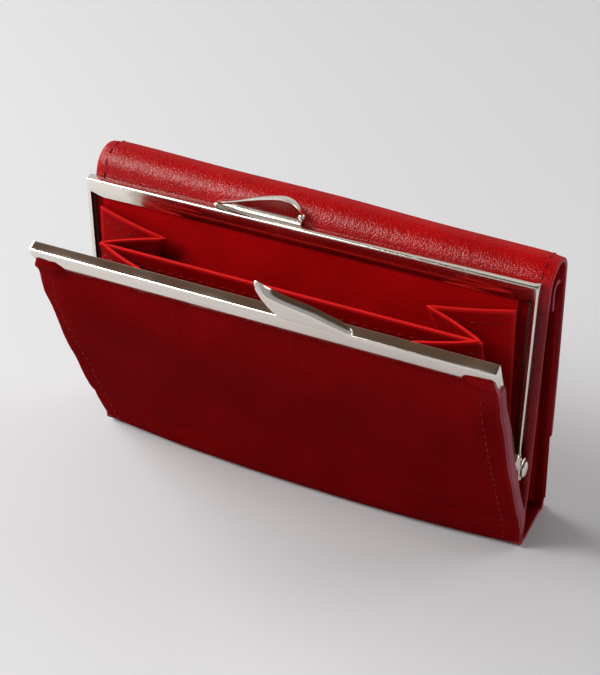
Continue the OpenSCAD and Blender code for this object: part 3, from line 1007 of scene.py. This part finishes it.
def simple_sheet(name, path, width, thickness, finish, body, node, sag=0.0,
                 seams=(), lift=1.0, pinch=0.0, taper=0.0):
    """A sheet along a Y-Z path, with a slight sag, seams across it and its body."""
    curve, length = smooth_path(path)

    def place(u, v):
        y, z = at_length(curve, length, v)
        along = direction_at(curve, length, v)
        soft = sag * math.cos(math.pi * u / width) * math.sin(math.pi * v / length)
        soft += 0.3 * sag * math.sin(0.13 * u + 0.4) * math.sin(2 * math.pi * v / length)
        pinched = pinch * corner_pinch(u, z) if y < -10.2 else 0
        x = u * (1 - taper * (1 - ease(z, 6, 34)))
        return x, y + along[1] * soft + pinched, z - along[0] * soft

    piece = cut_flat(name, width, length, int(width / 2.4), max(12, int(length / 1.2)))
    fold(piece, place, lambda u, v: 0.8 * (1 - ease(v, 0.1, 0.6)))
    thicken(piece, thickness, finish, inner_edge)
    for seam in seams:
        height = lift * (thickness / 2 + 0.02)
        sew(piece, place, (-width / 2 + 4, seam), (width / 2 - 4, seam), height)
    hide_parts(node)
    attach(piece, body)


back_y = PIVOT_Y + 0.87
simple_sheet("pocket_back_leather",
             [(-8.15, 78.2), (-8.15, 60), (-8.15, 40), (-8.15, 20), (-8.0, 5)], 116, SKIN,
             red_leather, "root", "pocket_back")
simple_sheet("pocket_lining_skin",
             [(back_y, z) for z in (78.2, 60, 40, 20, 9)]
             + arc((back_y - 0.9, 8), 0.9, -10, -170, 6)
             + [(-11.4, 14), (-13.4, 20), (-15.0, 23.6)],
             111, LINING, lining, "root", "pocket_lining",
             pinch=PINCH, taper=0.25)
simple_sheet("front_lining_skin",
             [front_at(n, s) for n, s in ((0.87, 49.6), (0.87, 46), (3.3, 40.4), (4.9, 34),
                                          (5.4, 26), (5.4, 18), (5.3, 8))],
             108, LINING, lining, "front_frame_body", "front_lining")
simple_sheet("flap_lining_skin",
             [(4.45, 79), (4.85, 75), (6.33, 60), (8.1, 42), (9.82, 24.6)], 121, LINING,
             lining, "flap_body", "flap_lining")
simple_sheet("cover_lining_skin", [on_cover(s, 2.05) for s in (71, 50, 30, 10, 1)], 121, LINING,
             lining, "cover_body", "cover_lining")
for number, (depth, top) in enumerate(((2.65, 62), (3.2, 51), (3.75, 40)), 1):
    simple_sheet(f"card_pocket_skin_{number}",
                 [on_cover(s, depth) for s in (top, top * 0.6, top * 0.3, 2)], 116, LINING,
                 inner_leather, "cover_body", f"card_pocket_{number}",
                 seams=[3.2])
DIVIDE = math.radians(12.8)
divider_path = [(PIVOT_Y - s * math.sin(DIVIDE), PIVOT_Z + s * math.cos(DIVIDE))
                for s in (40.6, 30, 20, 10, 1.5)]
simple_sheet("divider_skin", divider_path, 102, 0.8, inner_leather, "divider_body", "divider",
             sag=0.5, seams=[4.2], lift=-1.0)
print("Linings, card pockets and divider made")

# %% [markdown]
# The gussets are pleated like a fan and let the mouth open to its width. Their folds run
# from the mouth down to the pivot, each fold line rubbed bright.

# %% Gussets
def gusset_corner(fold_line, t):
    """Point at share t from the pivot up to the mouth on a fold line of the right gusset."""
    tops = [(55.6, -10.4, 73.0), (35, -13.4, 70.3), (50.3, -19, 68.3), (35.5, -24.6, 67.2),
            (56, -30.3, 67.5)]
    lows = [(57, -10.2, 31), (54.5, -10.6, 31), (56.4, -11.1, 31), (54.5, -11.6, 31),
            (57, -12.2, 31)]
    return np.array(lows[fold_line]) * (1 - t) + np.array(tops[fold_line]) * t


GUSSET_TALL, LEAF = 44, 20


def gusset_place(u, v):
    """u runs across the four leaves, v down from the mouth."""
    across = min(max(u / LEAF + 2, 0), 3.9999)
    i = int(across)
    share = across - i
    t = 1 - v / GUSSET_TALL
    a, b = gusset_corner(i, t), gusset_corner(i + 1, t)
    p = a * (1 - share) + b * share
    leaf = b - a
    normal = np.array([-leaf[1], leaf[0], 0])
    normal = normal / max(np.linalg.norm(normal), 1e-6)
    belly = 0.5 * math.sin(math.pi * share) * t ** 0.8
    return tuple(p + normal * belly)


def gusset_wear(u, v):
    from_fold = abs(((u / LEAF) + 0.5) % 1 - 0.5) * LEAF
    rubbed = 0.6 * (1 - ease(from_fold, 0.1, 0.6)) * (1 - ease(v, 6, 36))
    return max(0.8 * (1 - ease(v, 0.1, 0.6)), rubbed)


for side, name in ((1, "right"), (-1, "left")):
    gusset = cut_flat(f"{name}_gusset_skin", 4 * LEAF, GUSSET_TALL, 64, 36)

    def place(u, v, side=side):
        x, y, z = gusset_place(u, v)
        return side * x, y, z

    fan_area = fold(gusset, place, gusset_wear)
    thicken(gusset, 0.65, inner_leather, inner_edge)
    for leaf in range(4):
        low = (leaf - 2) * LEAF + 1.5
        sew(gusset, place, (low, 3.8), (low + LEAF - 3, 3.8), 0.34 * side)
    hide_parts(f"{name}_gusset")
    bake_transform(gusset)
print("Each gusset is a fan of", round(fan_area * 1e4, 1), "square cm")

# %% [markdown]
# The flap presses shut on a stud: a domed cap and a ring socket on the flap, and a ball
# with its washer on the cover.

# %% Press stud
def on_skin(y, z, lean):
    """Puts Z square to a leaning skin, pointing outwards."""
    return Matrix.Translation(mm(0, y, z)) @ Matrix.Rotation(math.radians(-90 + lean), 4, "X")


STUD_S = 31
ball_at = on_skin(*on_cover(STUD_S, -0.6), COVER_LEAN)
cap_at = on_skin(10.42, 34.3, 5.6)
studs = (
    ("stud_cap_dome", "stud_cap", "flap_body", cap_at,
     [(5.3, 0.6), (5.5, 0.72), (5.45, 0.95), (5.0, 1.12), (3.6, 1.26), (1.8, 1.33), (0.6, 1.35)]),
    ("stud_socket_ring", "stud_socket", "flap_body", cap_at,
     [(1.85, -2.45), (1.85, -3.1), (2.0, -3.2), (3.6, -3.2), (3.95, -3.05), (4.0, -2.75),
      (4.0, -2.4), (3.7, -2.3)]),
    ("stud_ball_turned", "stud_ball", "cover_body", ball_at,
     [(3.9, 0.0), (4.0, 0.1), (3.85, 0.25), (1.4, 0.3), (1.2, 0.45), (1.5, 0.62), (1.6, 0.8),
      (1.35, 1.0), (0.8, 1.1), (0.3, 1.12)]),
    ("stud_post_washer", "stud_post", "cover_body", ball_at,
     [(2.6, -1.27), (3.0, -1.24), (2.9, -1.2), (1.0, -1.18), (1.0, -0.02), (0.6, 0.0)]))
for name, node, body, where, rings in studs:
    part = turned(name, rings, where)
    finish_metal(part)
    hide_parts(node)
    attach(part, body)
print("Press stud turned in", len(studs), "parts")

# %% [markdown]
# The stitch that all the others were copied from is put away.

# %% Put away the stitch
bpy.data.objects.remove(stitch_model)
